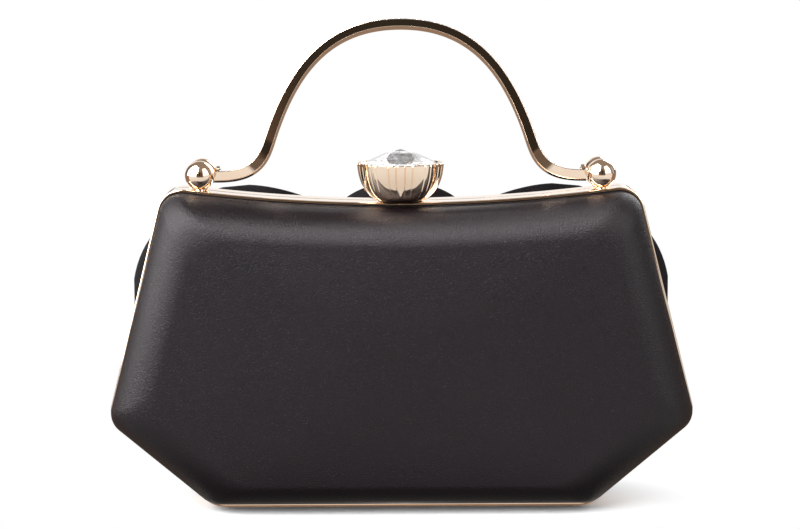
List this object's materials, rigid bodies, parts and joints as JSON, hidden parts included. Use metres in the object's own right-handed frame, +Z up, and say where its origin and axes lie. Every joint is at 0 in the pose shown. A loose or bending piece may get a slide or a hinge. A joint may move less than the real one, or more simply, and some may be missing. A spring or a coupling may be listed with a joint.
{
  "type": "top-handle clutch bag",
  "caption": "Boxy top-handle clutch in hinged halves with a polished metal frame, arched swinging handle, twist clasp with a cut stone, and a layered fabric flower on the far face.",
  "frame": {"origin": "middle of the plain half-frame's flat bottom, where the bag stands", "axes": "+X to the bag's right seen from its plain face, +Y from the plain face to the flower face, +Z up"},
  "size_m": [0.2108, 0.0683, 0.1768],
  "materials": {
    "rose_gold": "polished pale rose-gold plating",
    "lock_steel": "fine brushed",
    "black_satin": "satin, fine grain",
    "padding_foam": "thin foam padding",
    "moulded_board": "matt",
    "lining_cloth": "plain woven",
    "clear_crystal": "cut and polished"
  },
  "bodies": {
    "plain_half": {"plain_frame": "rose_gold", "plain_cover": "black_satin", "plain_padding": "padding_foam", "plain_shell": "moulded_board", "plain_lining": "lining_cloth", "plain_hinge_leaf": "rose_gold", "hinge_pin": "rose_gold", "plain_ball_left": "rose_gold", "plain_ball_right": "rose_gold", "lock_plate": "lock_steel", "clasp_washer": "lock_steel"},
    "flower_half": {"flower_frame": "rose_gold", "flower_cover": "black_satin", "flower_padding": "padding_foam", "flower_shell": "moulded_board", "flower_lining": "lining_cloth", "flower_hinge_leaf": "rose_gold", "pivot_ball_left": "rose_gold", "pivot_ball_right": "rose_gold", "pivot_pin_left": "lock_steel", "pivot_pin_right": "lock_steel", "strike_tongue": "lock_steel", "petal_top": "black_satin", "petal_shoulder_left": "black_satin", "petal_shoulder_right": "black_satin", "petal_side_left": "black_satin", "petal_side_right": "black_satin", "petal_low_left": "black_satin", "petal_low_right": "black_satin", "petal_base": "black_satin", "petal_middle_1": "black_satin", "petal_middle_2": "black_satin", "petal_middle_3": "black_satin", "petal_middle_4": "black_satin", "petal_middle_5": "black_satin", "petal_middle_6": "black_satin", "petal_inner_1": "black_satin", "petal_inner_2": "black_satin", "petal_inner_3": "black_satin", "petal_inner_4": "black_satin", "flower_button": "black_satin"},
    "handle": {"handle_bar": "rose_gold", "stone_strip": "clear_crystal"},
    "clasp_knob": {"clasp_cup": "rose_gold", "clasp_crystal": "clear_crystal", "clasp_stem": "lock_steel", "clasp_cam": "lock_steel"}
  },
  "joints": [
    {"name": "bag_opening", "type": "hinge", "parent": "plain_half", "child": "flower_half", "pos_m": [0, 0.0054, 0.0015], "axis": [-1, 0, 0], "range_deg": [0, 70]},
    {"name": "handle_swing", "type": "hinge", "parent": "flower_half", "child": "handle", "pos_m": [0, 0.0109, 0.1211], "axis": [1, 0, 0], "range_deg": [-75, 95]},
    {"name": "clasp_turn", "type": "hinge", "parent": "plain_half", "child": "clasp_knob", "pos_m": [0, 0.0009, 0.111], "axis": [0, 0, 1], "range_deg": [-90, 0]}
  ]
}
